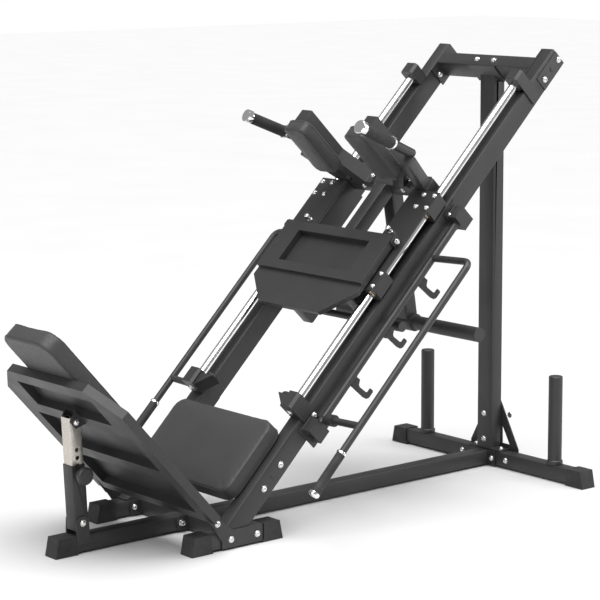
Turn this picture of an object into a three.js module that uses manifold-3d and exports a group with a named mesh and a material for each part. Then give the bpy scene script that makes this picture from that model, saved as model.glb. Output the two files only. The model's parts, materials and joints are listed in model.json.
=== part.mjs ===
// Plate-loaded leg press and hack squat machine: a sled on two guide rods, sloping at 45 degrees.
//
// Millimetres, +Z up. X runs along the machine from the backrest (negative) to the upright post,
// Y runs across it and Z = 0 is the floor. Pieces are drawn with X = 0 at the middle of the upright
// post, and the finished machine is moved along X so that its middle is at the origin.
// "left" is the +Y side, the left hand of a person who sits in the machine and faces the post.
//
// Pieces on the slope are drawn in the slope's own axes: x up the slope, y across and z square to
// the rails, with z = 0 on the rails' front faces.

import * as THREE from "three";
import { mergeVertices } from "three/addons/utils/BufferGeometryUtils.js";
import Module from "manifold-3d";

const wasm = await Module();
wasm.setup();

// ---------------------------------------------------------------- driving dimensions

const GAP = 0.3; // between pieces that touch
const TUBE = 50; // side of the square tubes
const WALL = 2.5; // of every steel tube
const PLATE = 5; // flanges and brackets
const SHEET = 3; // trays
const CORNER = 4; // outside corner of a tube

const SOLE = 6; // of a foot cap, under its tube
const BASE_TOP = SOLE + TUBE;
const BASE_MIDDLE = SOLE + TUBE / 2;
const CAP_LENGTH = 74; // from a cap's mouth to the outer edge of its sole
const CAP_DEPTH = 56; // of its pocket

const FRONT_CAP_X = -1760; // mouths of the foot caps
const FOOT_BEAM_FRONT_X = -1440;
const FOOT_BEAM_REAR_X = -1238;
const REAR_CAP_Y = 404;
const FRONT_CROSSBAR_X = -1317;

const MIDDLE_X = -926.7; // of the whole machine
const SLOPE = Math.PI / 4;
const SLOPE_OFFSET = 1027; // from the origin to the rails' front faces, square to them
const RAIL_Y = 252.5;
const RAIL_WIDTH = 50;
const RAIL_DEPTH = 70;
const RAIL_TOP = 1041;
const RAIL_OUTSIDE = RAIL_Y + RAIL_WIDTH / 2;
const RAIL_INSIDE = RAIL_Y - RAIL_WIDTH / 2;

const POST_WIDTH = 70; // across the machine
const PEG_Y = 319;
const PEG_RADIUS = 24; // for plates with a 50 mm hole
const PEG_TOP = 362;

const ROD_RADIUS = 15;
const ROD_Z = 30; // rod axis in front of the rails
const ROD_BOTTOM = -505;
const ROD_TOP = 885;

const STOP = { y: 196, z: 28, radius: 21, low: -462, high: -450 };

const BLOCK_SIZE = 75; // bearing blocks
const BLOCK_CENTRES = { upper: 319.5, lower: -4 };
const BUSH_RADIUS = 20;

const SIDE_TUBE = [164, 214]; // sled side tubes, across the machine
const SLED_BOTTOM = -80;
const COVER_TOP = 63;
const CROSSBAR = [365, 415]; // the sled's top crossbar, along the slope
const CATCH_BAR = { x: -55, z: -108 };
const HORN = { x: 117, z: -361, radius: 24, reach: 347 };
const HANDLE = { foot: [383, 196, 62], shoulder: [361, 252, 206] };
const HAND_BAR_RADIUS = 16;
const GRIP_START = new THREE.Vector3(350, 265, 310);
const GRIP_END = new THREE.Vector3(289, 284, 457);
const HAND_BAR_TAIL = GRIP_START.clone().lerp(GRIP_END, -0.65);

const LEVER_SHAFT = { y: 300, z: -57, radius: 12.5 };
const LEVER_BAR = { y: 483, z: -44, radius: 11.5 };
const LEVER_OUT = THREE.MathUtils.degToRad(22); // hooks swung clear of the sled
const HOOK_PITCH = 202;

const PIN_RADIUS = 6; // of the hinge pins
const PRESS_HINGE = { x: 138, z: 81 };
const PRESS_OUTLINE = { start: 150, turn: -78, end: -175, half: 262, endHalf: 151 };
const PRESS_PANEL = [-12, 113, 177]; // low and high end, and half width, of the open panel
const PRESS_STEP = { from: -47, edge: 71, face: 86, back: 98 }; // thinner below its middle bar
const PULL_PIN = { x: 181, y: 203, radius: 5 };

const BACK_HINGE = { x: -1422, z: 91 };
const BACK_ANGLE = THREE.MathUtils.degToRad(48.33); // backrest above the horizontal
const BACK_OUTLINE = { start: 22, turn: 519, end: 618, half: 309, endHalf: 204 };
const BACK_PANELS = [
  [60, 210, 250],
  [260, 410, 250],
  [460, 570, 200],
];
const STRUT_FOOT = { x: -1734.5, z: 96 };
const STRUT_LEAN = THREE.MathUtils.degToRad(2.74);
const STRUT_LENGTH = 313.4; // between its two pivots
const STRUT_LUG = { x: 455, z: -33 }; // its top pivot in the backrest's axes
const HOLE_PITCH = 25;
const POP_PIN_Z = 152; // above the strut's foot pivot

// ---------------------------------------------------------------- finishes

const FINISH = {
  steel: { color: 0x3f3e40, roughness: 0.55, metalness: 0.35 },
  chrome: { color: 0xdfe1e3, roughness: 0.12, metalness: 1 },
  zinc: { color: 0xa7a59d, roughness: 0.35, metalness: 0.9 },
  bronze: { color: 0x9a7b45, roughness: 0.4, metalness: 0.9 },
  rubber: { color: 0x262626, roughness: 0.85, metalness: 0 },
  plastic: { color: 0x303031, roughness: 0.6, metalness: 0 },
  vinyl: { color: 0x3a393b, roughness: 0.6, metalness: 0 },
};

// ---------------------------------------------------------------- solids

// A geometry whose faces share their vertices, as a solid that can be joined and cut.
function solid(geometry) {
  const bare = geometry.index ? geometry.toNonIndexed() : geometry.clone();
  bare.deleteAttribute("normal");
  bare.deleteAttribute("uv");
  const merged = mergeVertices(bare, 1e-4);
  return new wasm.Manifold(
    new wasm.Mesh({
      numProp: 3,
      vertProperties: merged.attributes.position.array,
      triVerts: new Uint32Array(merged.index.array),
    }),
  );
}

function fromSolid(body) {
  const mesh = body.getMesh();
  return new THREE.BufferGeometry()
    .setAttribute("position", new THREE.BufferAttribute(mesh.vertProperties, 3))
    .setIndex(new THREE.BufferAttribute(mesh.triVerts, 1));
}

function join(...pieces) {
  return fromSolid(pieces.map(solid).reduce((whole, piece) => whole.add(piece)));
}

function cut(geometry, ...tools) {
  return fromSolid(tools.map(solid).reduce((rest, tool) => rest.subtract(tool), solid(geometry)));
}

function box([x0, x1], [y0, y1], [z0, z1]) {
  const geometry = new THREE.BoxGeometry(x1 - x0, y1 - y0, z1 - z0);
  return geometry.translate((x0 + x1) / 2, (y0 + y1) / 2, (z0 + z1) / 2);
}

// A round bar between two points.
function bar(radius, start, end, sides = 16) {
  const from = new THREE.Vector3(...start);
  const along = new THREE.Vector3(...end).sub(from);
  const geometry = new THREE.CylinderGeometry(radius, radius, along.length(), sides);
  const middle = from.clone().addScaledVector(along, 0.5);
  const turn = new THREE.Quaternion().setFromUnitVectors(
    new THREE.Vector3(0, 1, 0),
    along.clone().normalize(),
  );
  return geometry.applyQuaternion(turn).translate(middle.x, middle.y, middle.z);
}

// A round bar with one bend, at the middle one of its three points.
function bentBar(radius, start, corner, end, bend, sides = 16) {
  const turn = new THREE.Vector3(...corner);
  const into = new THREE.Vector3(...start).sub(turn).normalize();
  const outOf = new THREE.Vector3(...end).sub(turn).normalize();
  const first = turn.clone().addScaledVector(into, bend);
  const last = turn.clone().addScaledVector(outOf, bend);
  const section = new THREE.Shape().absarc(0, 0, radius, 0, 2 * Math.PI);
  const elbow = new THREE.ExtrudeGeometry(section, {
    extrudePath: new THREE.QuadraticBezierCurve3(first, turn, last),
    steps: 8,
    curveSegments: sides / 2,
  });
  const overlap = 0.5;
  const firstEnd = first.clone().addScaledVector(into, -overlap);
  const lastEnd = last.clone().addScaledVector(outOf, -overlap);
  return join(
    bar(radius, start, firstEnd.toArray(), sides),
    elbow,
    bar(radius, lastEnd.toArray(), end, sides),
  );
}

// An outline pushed along an axis. Its own two axes are y, z along "x"; x, z along "y"; and x, y
// along "z". It is a shape, or a list of corners.
function prism(outline, axis, [low, high], curveSegments = 1) {
  const shape = Array.isArray(outline)
    ? new THREE.Shape(outline.map(([a, b]) => new THREE.Vector2(a, b)))
    : outline;
  const geometry = new THREE.ExtrudeGeometry(shape, {
    depth: high - low,
    bevelEnabled: false,
    curveSegments,
  });
  if (axis === "x") {
    const cycle = new THREE.Matrix4().set(0, 0, 1, 0, 1, 0, 0, 0, 0, 1, 0, 0, 0, 0, 0, 1);
    return geometry.applyMatrix4(cycle).translate(low, 0, 0);
  }
  if (axis === "y") return geometry.rotateX(Math.PI / 2).translate(0, high, 0);
  return geometry.translate(0, 0, low);
}

// A rectangle with round corners, as a shape or as a hole in one.
function roundedRectangle([a0, a1], [b0, b1], radius, path = new THREE.Shape()) {
  path.moveTo(a0 + radius, b0);
  path.absarc(a1 - radius, b0 + radius, radius, -Math.PI / 2, 0);
  path.absarc(a1 - radius, b1 - radius, radius, 0, Math.PI / 2);
  path.absarc(a0 + radius, b1 - radius, radius, Math.PI / 2, Math.PI);
  path.absarc(a0 + radius, b0 + radius, radius, Math.PI, 1.5 * Math.PI);
  return path;
}

// A rectangular steel tube, open at both ends.
function tube(axis, length, [a0, a1], [b0, b1], wall = WALL) {
  const section = roundedRectangle([a0, a1], [b0, b1], CORNER);
  const inside = [
    [a0 + wall, a1 - wall],
    [b0 + wall, b1 - wall],
  ];
  section.holes.push(roundedRectangle(...inside, CORNER - wall, new THREE.Path()));
  return prism(section, axis, length);
}

// A turned piece about the z axis, from [radius, height] points that start and end on the axis
// or close on themselves.
function turned(profile, sides = 20) {
  const points = profile.map(([radius, height]) => new THREE.Vector2(radius, height));
  return new THREE.LatheGeometry(points, sides).rotateX(Math.PI / 2);
}

const slopeMatrix = new THREE.Matrix4()
  .makeRotationY(-SLOPE)
  .multiply(new THREE.Matrix4().makeTranslation(0, 0, SLOPE_OFFSET));

// Takes a geometry from the slope's axes to the machine's.
function onSlope(geometry) {
  return geometry.applyMatrix4(slopeMatrix);
}

// The same piece on the machine's other side, with its faces still turned outwards.
function mirrored(geometry) {
  const copy = (geometry.index ? geometry.toNonIndexed() : geometry.clone()).scale(1, -1, 1);
  const points = copy.getAttribute("position");
  for (let corner = 0; corner < points.count; corner += 3) {
    const second = new THREE.Vector3().fromBufferAttribute(points, corner + 1);
    const third = new THREE.Vector3().fromBufferAttribute(points, corner + 2);
    points.setXYZ(corner + 1, ...third);
    points.setXYZ(corner + 2, ...second);
  }
  return copy;
}

// ---------------------------------------------------------------- scene graph

const machine = new THREE.Group();
machine.position.x = -MIDDLE_X;
const slope = new THREE.Group();
slope.applyMatrix4(slopeMatrix);
const backrest = new THREE.Group();
backrest.position.set(BACK_HINGE.x, 0, BACK_HINGE.z);
backrest.rotation.set(0, BACK_ANGLE, Math.PI);
const strut = new THREE.Group();
strut.position.set(STRUT_FOOT.x, 0, STRUT_FOOT.z);
strut.rotation.y = -STRUT_LEAN;
machine.add(slope, backrest, strut);

function add(group, name, finish, geometry) {
  const mesh = new THREE.Mesh(geometry, new THREE.MeshStandardMaterial(FINISH[finish]));
  mesh.name = name;
  group.add(mesh);
  return mesh;
}

// The same piece on both sides of the machine, drawn on the left.
function addPair(group, name, finish, geometry) {
  add(group, name + "_left", finish, geometry);
  add(group, name + "_right", finish, geometry).scale.y = -1;
}

// ---------------------------------------------------------------- base

function strutEars() {
  const outline = [
    [STRUT_FOOT.x - 25, 30],
    [STRUT_FOOT.x + 25, 30],
    [STRUT_FOOT.x + 22, STRUT_FOOT.z + 10],
    [STRUT_FOOT.x + 10, STRUT_FOOT.z + 20],
    [STRUT_FOOT.x - 10, STRUT_FOOT.z + 20],
    [STRUT_FOOT.x - 22, STRUT_FOOT.z + 10],
  ];
  const ear = prism(outline, "y", [TUBE / 2 + 0.5, TUBE / 2 + 0.5 + PLATE]);
  const weld = box(
    [STRUT_FOOT.x - 25, STRUT_FOOT.x + 25],
    [TUBE / 2 - 0.5, TUBE / 2 + 1],
    [30, BASE_TOP - 1],
  );
  const side = join(ear, weld);
  const pin = bar(
    PIN_RADIUS,
    [STRUT_FOOT.x, -TUBE / 2 - PLATE, STRUT_FOOT.z],
    [STRUT_FOOT.x, TUBE / 2 + PLATE, STRUT_FOOT.z],
    16,
  );
  return join(side, mirrored(side), pin);
}

function baseBeam() {
  const end = -TUBE / 2 - GAP;
  const beam = tube(
    "x",
    [FRONT_CAP_X - CAP_DEPTH, end - PLATE + 1],
    [-TUBE / 2, TUBE / 2],
    [SOLE, BASE_TOP],
  );
  const flange = box([end - PLATE, end], [-60, 60], [SOLE, BASE_TOP]);
  return join(beam, flange, strutEars());
}

// From the base beam out to a foot beam, with a bolting flange at each end.
function frontCrossbar() {
  const inner = TUBE / 2 + GAP;
  const outer = RAIL_INSIDE - GAP;
  const half = TUBE / 2;
  const beam = tube(
    "y",
    [inner + PLATE - 1, outer - PLATE + 1],
    [FRONT_CROSSBAR_X - half, FRONT_CROSSBAR_X + half],
    [SOLE, BASE_TOP],
  );
  const lobes = roundedRectangle(
    [FRONT_CROSSBAR_X - 68, FRONT_CROSSBAR_X + 68],
    [SOLE, BASE_TOP],
    20,
  );
  const vent = bar(
    10,
    [FRONT_CROSSBAR_X, inner - 1, BASE_MIDDLE],
    [FRONT_CROSSBAR_X, outer + 1, BASE_MIDDLE],
  );
  const flanges = [
    prism(lobes, "y", [inner, inner + PLATE], 3),
    prism(lobes, "y", [outer - PLATE, outer], 3),
  ];
  return cut(join(beam, ...flanges), vent);
}

function footBeam() {
  return tube(
    "x",
    [FOOT_BEAM_FRONT_X - CAP_DEPTH, FOOT_BEAM_REAR_X + CAP_DEPTH],
    [RAIL_INSIDE, RAIL_OUTSIDE],
    [SOLE, BASE_TOP],
  );
}

function rearCrossbar() {
  const end = REAR_CAP_Y + CAP_DEPTH;
  return tube("y", [-end, end], [-TUBE / 2, TUBE / 2], [SOLE, BASE_TOP]);
}

// A rubber shoe that is pushed over a tube's end. It is drawn with its mouth at x = 0.
function footCap() {
  const top = BASE_TOP + SHEET;
  const side = [
    [-6, 0],
    [CAP_LENGTH, 0],
    [CAP_LENGTH - 12, top],
    [0, top],
    [0, SOLE + 6],
    [-6, SOLE],
  ];
  const half = TUBE / 2 + GAP;
  const pocket = box([-10, CAP_DEPTH + 1], [-half, half], [SOLE - GAP, BASE_TOP + GAP]);
  return cut(prism(side, "y", [-30, 30]), pocket);
}

function addFootCaps() {
  const turnBack = Math.PI;
  const places = {
    foot_cap_front: [FRONT_CAP_X, 0, turnBack],
    foot_cap_rear_left: [0, REAR_CAP_Y, Math.PI / 2],
    foot_cap_rear_right: [0, -REAR_CAP_Y, -Math.PI / 2],
    foot_cap_rail_front_left: [FOOT_BEAM_FRONT_X, RAIL_Y, turnBack],
    foot_cap_rail_front_right: [FOOT_BEAM_FRONT_X, -RAIL_Y, turnBack],
    foot_cap_rail_rear_left: [FOOT_BEAM_REAR_X, RAIL_Y, 0],
    foot_cap_rail_rear_right: [FOOT_BEAM_REAR_X, -RAIL_Y, 0],
  };
  for (const [name, [x, y, turn]] of Object.entries(places)) {
    const cap = add(machine, name, "rubber", footCap());
    cap.position.set(x, y, 0);
    cap.rotation.z = turn;
  }
}

function storagePeg() {
  const foot = BASE_TOP + GAP;
  const collar = PEG_RADIUS + 4;
  const bore = PEG_RADIUS - SHEET;
  const peg = turned([
    [0, PEG_TOP - PLATE],
    [bore, PEG_TOP - PLATE],
    [bore, foot],
    [collar, foot],
    [collar, foot + 12],
    [PEG_RADIUS, foot + 15],
    [PEG_RADIUS, PEG_TOP - SHEET],
    [PEG_RADIUS - SHEET, PEG_TOP],
    [0, PEG_TOP],
  ]);
  return peg.translate(0, PEG_Y, 0);
}

// ---------------------------------------------------------------- upright post

// The post's top is cut to seat the tilted top crossbar, and two plates bolt to the crossbar.
function rearPost() {
  const half = TUBE / 2;
  const foot = BASE_TOP + GAP;
  const body = tube("z", [foot + 1, 1400], [-half, half], [-POST_WIDTH / 2, POST_WIDTH / 2]);
  const crossbarLow = RAIL_TOP - 88 - GAP;
  const crossbarBack = -RAIL_DEPTH - GAP;
  const seat = box(
    [crossbarLow - PLATE + 1, RAIL_TOP + 100],
    [-100, 100],
    [crossbarBack - PLATE + 1, 200],
  );
  const frontPlate = box([crossbarLow - PLATE, crossbarLow], [-62, 62], [-RAIL_DEPTH, 0]);
  const backPlate = box(
    [crossbarLow + GAP, crossbarLow + TUBE],
    [-62, 62],
    [crossbarBack - PLATE, crossbarBack],
  );
  const corner = box(
    [crossbarLow - PLATE, crossbarLow + 2],
    [-62, 62],
    [crossbarBack - PLATE, crossbarBack],
  );
  const flange = box([-half, half], [-78, 78], [foot, foot + PLATE]);
  const drain = bar(12, [0, 0, foot - 1], [0, 0, foot + PLATE + 1]);
  const post = cut(body, onSlope(seat));
  return cut(
    join(post, onSlope(join(frontPlate, backPlate, corner)), flange),
    drain,
  );
}

// A flat plate that braces the post's back against the rear crossbar.
function postGusset() {
  const outline = [
    [30, 225],
    [-30, 225],
    [-118, 64],
    [-118, SOLE + 1],
    [118, SOLE + 1],
    [118, 64],
  ];
  const back = TUBE / 2 + GAP;
  const plate = prism(outline, "x", [back, back + PLATE]);
  const window = [
    [39, 75],
    [76, 75],
    [38, 140],
  ];
  const opening = prism(window, "x", [back - 1, back + PLATE + 1]);
  return cut(plate, opening, mirrored(opening));
}

// ---------------------------------------------------------------- sloping frame

// A block that holds one end of the safety lever's shaft, on a plate on the rail's outer face.
function shaftBracket([plateLow, plateHigh], [blockLow, blockHigh], [low, high]) {
  const plate = box(
    [plateLow, plateHigh],
    [RAIL_OUTSIDE - 0.5, RAIL_OUTSIDE + PLATE],
    [low, high],
  );
  const { y, z, radius } = LEVER_SHAFT;
  const block = box([blockLow, blockHigh], [RAIL_OUTSIDE, y + 20], [z - 32, z + 32]);
  const bore = bar(radius + GAP, [blockLow - 1, y, z], [blockHigh + 1, y, z], 24);
  return cut(join(plate, block), bore);
}

// The rail's foot sits on the foot beam. Its outer plate also carries the backrest's hinge.
function railSaddle() {
  const outside = RAIL_OUTSIDE + PLATE;
  const ends = [FRONT_CROSSBAR_X - 83, FOOT_BEAM_REAR_X - 7];
  const seat = box(ends, [RAIL_INSIDE, outside], [BASE_TOP + GAP, BASE_TOP + GAP + PLATE]);
  const inside = RAIL_OUTSIDE + GAP;
  const side = box(ends, [inside, outside], [SOLE + GAP, BASE_TOP + PLATE]);
  const lug = prism(
    [
      [ends[0], 30],
      [ends[0] + 40, BASE_TOP + PLATE],
      [BACK_HINGE.x + 11, BACK_HINGE.z + 13],
      [BACK_HINGE.x - 14, BACK_HINGE.z - 10],
    ],
    "y",
    [inside, outside],
  );
  const hinge = ([y0, y1], radius) =>
    bar(radius, [BACK_HINGE.x, y0, BACK_HINGE.z], [BACK_HINGE.x, y1, BACK_HINGE.z]);
  const eye = hinge([inside, outside], 17);
  return cut(join(seat, side, lug, eye), hinge([inside - 1, outside + 1], PIN_RADIUS + GAP));
}

function rail() {
  const across = [RAIL_INSIDE, RAIL_OUTSIDE];
  const body = tube("x", [-1000, RAIL_TOP - SHEET], across, [-RAIL_DEPTH, 0]);
  const end = prism(
    roundedRectangle(across, [-RAIL_DEPTH, 0], CORNER),
    "x",
    [RAIL_TOP - SHEET - 1, RAIL_TOP],
  );
  const stiffener = box([918, RAIL_TOP], [RAIL_OUTSIDE - 0.5, RAIL_OUTSIDE + SHEET], [-67, -11]);
  const upperBracket = shaftBracket([328, 393], [332, 380], [-89, -9]);
  const lowerBracket = shaftBracket([-545, -461], [-533, -484], [-106, -20]);
  const hole = (x, z) => bar(8, [x, RAIL_OUTSIDE - 8, z], [x, RAIL_OUTSIDE + 8, z], 16);
  const drilled = cut(
    join(body, end, stiffener, upperBracket, lowerBracket),
    hole(988, -40),
    hole(-704, -37),
  );
  const floorSide = box([-2000, 0], [0, 400], [-200, BASE_TOP + 3]);
  return join(cut(onSlope(drilled), floorSide), railSaddle());
}

function topCrossbar() {
  const low = RAIL_TOP - 88;
  const inside = RAIL_INSIDE - GAP;
  const body = tube(
    "y",
    [-inside + 1, inside - 1],
    [low, low + TUBE],
    [-RAIL_DEPTH, 0],
  );
  const flange = box([918, RAIL_TOP], [inside - PLATE, inside], [-RAIL_DEPTH - 8, 0]);
  const vent = bar(8, [988, inside - 8, -40], [988, inside + 1, -40], 16);
  return cut(join(body, flange, mirrored(flange)), vent, mirrored(vent));
}

function guideRod() {
  return bar(ROD_RADIUS, [ROD_BOTTOM, RAIL_Y, ROD_Z], [ROD_TOP, RAIL_Y, ROD_Z], 24);
}

// A block on the rail's front face with a blind hole for the rod, and a lip down the rail's side.
function rodBracket([low, high], lip) {
  const outside = RAIL_OUTSIDE + GAP + PLATE;
  const section = [
    [RAIL_INSIDE, GAP],
    [RAIL_OUTSIDE + GAP, GAP],
    [RAIL_OUTSIDE + GAP, -lip],
    [outside, -lip],
    [outside, 57],
    [outside - 8, 65],
    [RAIL_INSIDE + 8, 65],
    [RAIL_INSIDE, 57],
  ];
  return prism(section, "x", [low, high]);
}

function rodHole([from, to]) {
  return bar(ROD_RADIUS + GAP, [from, RAIL_Y, ROD_Z], [to, RAIL_Y, ROD_Z], 24);
}

function addRodBrackets() {
  const top = cut(rodBracket([848, 890], 60), rodHole([840, ROD_TOP + GAP]));
  addPair(slope, "rod_top_bracket", "steel", top);
  const shelfTop = STOP.low - GAP;
  const shelf = prism(
    [
      [shelfTop, STOP.y - 26],
      [shelfTop, RAIL_INSIDE + 1],
      [-512, RAIL_INSIDE + 1],
    ],
    "z",
    [STOP.z - 22, STOP.z + 22],
  );
  const block = join(rodBracket([-512, -455], 18), shelf);
  const bottom = cut(block, rodHole([ROD_BOTTOM - GAP, -440]));
  addPair(slope, "rod_bottom_bracket", "steel", bottom);
}

// A rubber stop that catches the sled's side tube at the bottom of its travel.
function stopBumper() {
  const { y, z, radius, low, high } = STOP;
  const bumper = turned([
    [0, low],
    [radius, low],
    [radius, high - 6],
    [radius - 6, high],
    [0, high],
  ]);
  return bumper.rotateY(Math.PI / 2).translate(0, y, z);
}

function seatPad() {
  const outline = roundedRectangle([-844, -568], [-246, 246], 40);
  return prism(outline, "z", [GAP, 57], 5);
}

// ---------------------------------------------------------------- sled

function sledSide() {
  const [inner, outer] = SIDE_TUBE;
  const crossbarFront = CROSSBAR[0];
  const cover = box([-44, crossbarFront - 4], [inner, 290], [COVER_TOP - PLATE, COVER_TOP]);
  const side = tube("x", [SLED_BOTTOM, crossbarFront + 1], SIDE_TUBE, [-31, COVER_TOP - 4]);
  const leg = tube("z", [-158, -30], [SLED_BOTTOM, SLED_BOTTOM + TUBE], [inner, outer]);
  const sleeve = bar(
    17,
    [CATCH_BAR.x, outer - 1, CATCH_BAR.z],
    [CATCH_BAR.x, 306, CATCH_BAR.z],
  );
  const ear = prism(
    roundedRectangle([PRESS_HINGE.x - 16, PRESS_HINGE.x + 16], [COVER_TOP - 1, 97], 10),
    "y",
    [264.5, 269.5],
    3,
  );
  const hingeHole = bar(
    PIN_RADIUS + GAP,
    [PRESS_HINGE.x, 260, PRESS_HINGE.z],
    [PRESS_HINGE.x, 275, PRESS_HINGE.z],
  );
  const { x, y, radius } = PULL_PIN;
  const pinHole = bar(radius + GAP, [x, y, 40], [x, y, 70]);
  return cut(join(cover, side, leg, sleeve, ear), hingeHole, pinHole);
}

// The post that hangs down behind the sled and ends in a socket for the weight horn.
function hornPost() {
  const top = { x: 387, z: 12 };
  const length = Math.hypot(top.x - HORN.x, top.z - HORN.z);
  const lean = Math.atan2(top.x - HORN.x, top.z - HORN.z);
  const half = TUBE / 2;
  const post = tube("z", [0, length + 60], [-half, half], [-half, half])
    .rotateY(lean)
    .translate(HORN.x, 0, HORN.z);
  const socket = bar(HORN.radius + 6, [HORN.x, -40, HORN.z], [HORN.x, 40, HORN.z], 24);
  const bore = bar(HORN.radius + GAP, [HORN.x, -50, HORN.z], [HORN.x, 50, HORN.z], 24);
  const aboveCrossbar = box([200, 600], [-60, 60], [COVER_TOP - TUBE - 1, 200]);
  const drainZ = HORN.z + 60;
  const drain = bar(4, [HORN.x, 0, drainZ], [HORN.x, 40, drainZ], 12);
  return cut(join(cut(post, aboveCrossbar), socket), bore, drain);
}

function sledFrame() {
  const side = sledSide();
  const top = COVER_TOP - 1;
  const reach = SIDE_TUBE[1];
  const topCrossbar = tube("y", [-reach, reach], CROSSBAR, [top - TUBE, top]);
  const spine = tube(
    "x",
    [SLED_BOTTOM + 20, CROSSBAR[0] + 1],
    [-TUBE / 2, TUBE / 2],
    [top - TUBE, top],
  );
  const lowCrossbar = tube(
    "y",
    [-SIDE_TUBE[0] - 1, SIDE_TUBE[0] + 1],
    [SLED_BOTTOM + 20, SLED_BOTTOM + 20 + TUBE],
    [top - 2 * TUBE + 20, top - TUBE + 1],
  );
  const catchBar = bar(12, [CATCH_BAR.x, -300, CATCH_BAR.z], [CATCH_BAR.x, 300, CATCH_BAR.z]);
  const lowMiddle = SLED_BOTTOM + 20 + TUBE / 2;
  const vent = bar(4, [lowMiddle, 100, -30], [lowMiddle, 100, -10], 12);
  const parts = [side, mirrored(side), topCrossbar, spine, lowCrossbar, catchBar, hornPost()];
  return cut(join(...parts), vent);
}

function bearingBlock(centre) {
  const inner = RAIL_Y - BLOCK_SIZE / 2;
  const outer = RAIL_Y + BLOCK_SIZE / 2;
  const top = COVER_TOP - PLATE - GAP;
  const section = [
    [inner, PLATE],
    [outer - 10, PLATE],
    [outer, PLATE + 11],
    [outer, top],
    [inner, top],
  ];
  const ends = [centre - BLOCK_SIZE / 2, centre + BLOCK_SIZE / 2];
  const bore = bar(
    BUSH_RADIUS + GAP,
    [ends[0] - 1, RAIL_Y, ROD_Z],
    [ends[1] + 1, RAIL_Y, ROD_Z],
    24,
  );
  return cut(prism(section, "x", ends), bore);
}

function bearingBush(centre) {
  const half = BLOCK_SIZE / 2;
  const bush = turned(
    [
      [ROD_RADIUS + GAP, -half],
      [BUSH_RADIUS, -half],
      [BUSH_RADIUS, half],
      [ROD_RADIUS + GAP, half],
      [ROD_RADIUS + GAP, -half],
    ],
    24,
  );
  return bush.rotateY(Math.PI / 2).translate(centre, RAIL_Y, ROD_Z);
}

function weightHorn() {
  const { x, z, radius, reach } = HORN;
  const body = bar(radius, [x, -reach, z], [x, reach, z], 24);
  const bore = bar(radius - SHEET, [x, -reach + PLATE, z], [x, reach - PLATE, z], 16);
  const drain = bar(4, [x, 0, z - radius - 1], [x, 0, z], 12);
  return cut(body, bore, drain);
}

// A shoulder pad's arm stands on the top crossbar and steps outwards below the pad.
function shoulderArm() {
  const foot = COVER_TOP - 1 + GAP;
  const arm = prism(
    [
      [66, foot],
      [115, foot],
      [188, 155],
      [188, 361],
      [138, 361],
      [138, 172],
    ],
    "x",
    [362, 412],
  );
  const hollow = prism(
    [
      [69, foot - 1],
      [112, foot - 1],
      [185, 156],
      [185, 358],
      [141, 358],
      [141, 171],
    ],
    "x",
    [365, 409],
  );
  const flange = box([362, 415], [44, 137], [foot, foot + PLATE]);
  return cut(join(arm, flange), hollow);
}

function shoulderPad() {
  const outline = roundedRectangle([98, 206], [157, 372], 24);
  return prism(outline, "x", [313, 362 - GAP], 4);
}

// A square arm that leans outwards from the end of the top crossbar to a round hand bar.
function handleArm() {
  const from = new THREE.Vector3(...HANDLE.foot);
  const along = new THREE.Vector3(...HANDLE.shoulder).sub(from);
  const arm = tube("z", [-40, along.length() + 8], [-20, 20], [-20, 20]);
  const lean = new THREE.Quaternion().setFromUnitVectors(
    new THREE.Vector3(0, 0, 1),
    along.normalize(),
  );
  arm.applyQuaternion(lean).translate(...HANDLE.foot);
  const foot = COVER_TOP - 1 + GAP;
  const standing = cut(arm, box([300, 500], [100, 300], [-100, foot + 1]));
  const flange = box([CROSSBAR[0], CROSSBAR[1]], [150, 214], [foot, foot + PLATE]);
  const handBar = bar(HAND_BAR_RADIUS, HAND_BAR_TAIL.toArray(), GRIP_END.toArray());
  return join(standing, flange, handBar);
}

// A rubber sleeve with an end cap, over a round bar from start to end.
function gripSleeve(barRadius, start, end, capped) {
  const inner = barRadius + GAP;
  const outer = barRadius + 3;
  const along = end.clone().sub(start);
  const length = along.length();
  const profile = [
    [0, length + 2],
    [inner, length + 2],
    [inner, 0],
    [outer + 2, 0],
    [outer + 2, 8],
    [outer, 9],
    [outer, length - 14],
    [outer + 2, length - 12],
    [outer + 2, length + capped],
    [0, length + capped],
  ];
  const sleeve = turned(profile);
  const turn = new THREE.Quaternion().setFromUnitVectors(
    new THREE.Vector3(0, 0, 1),
    along.normalize(),
  );
  return sleeve.applyQuaternion(turn).translate(...start);
}

function handleGrip() {
  return gripSleeve(HAND_BAR_RADIUS, GRIP_START, GRIP_END, 6);
}

// ---------------------------------------------------------------- trays

// A tray's outline: straight sides, then a chamfer to a narrower end.
function trayOutline({ start, turn, end, half, endHalf }, inset) {
  const direction = Math.sign(end - start);
  const x0 = start + direction * inset;
  const x1 = end - direction * inset;
  const y0 = half - inset;
  const y1 = endHalf - inset / 2;
  return [
    [x0, -y0],
    [turn, -y0],
    [x1, -y1],
    [x1, y1],
    [turn, y0],
    [x0, y0],
  ];
}

// A flat sheet on a frame of box section, which leaves open panels on the back.
function tray(outline, [face, back], panels) {
  const inward = Math.sign(back - face);
  const range = (a, b) => (a < b ? [a, b] : [b, a]);
  const body = prism(trayOutline(outline, 0), "z", range(face, back));
  const skin = face + inward * SHEET;
  const rim = back - inward * SHEET;
  const panelBox = ([x0, x1, y], grow, [from, to]) =>
    box([x0 - grow, x1 + grow], [-y - grow, y + grow], range(from, to));
  const inside = cut(
    prism(trayOutline(outline, SHEET), "z", range(skin, rim)),
    ...panels.map((panel) => panelBox(panel, SHEET, [face, back])),
  );
  const open = panels.map((panel) => panelBox(panel, 0, [skin, back + inward]));
  return cut(body, inside, ...open);
}

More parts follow.
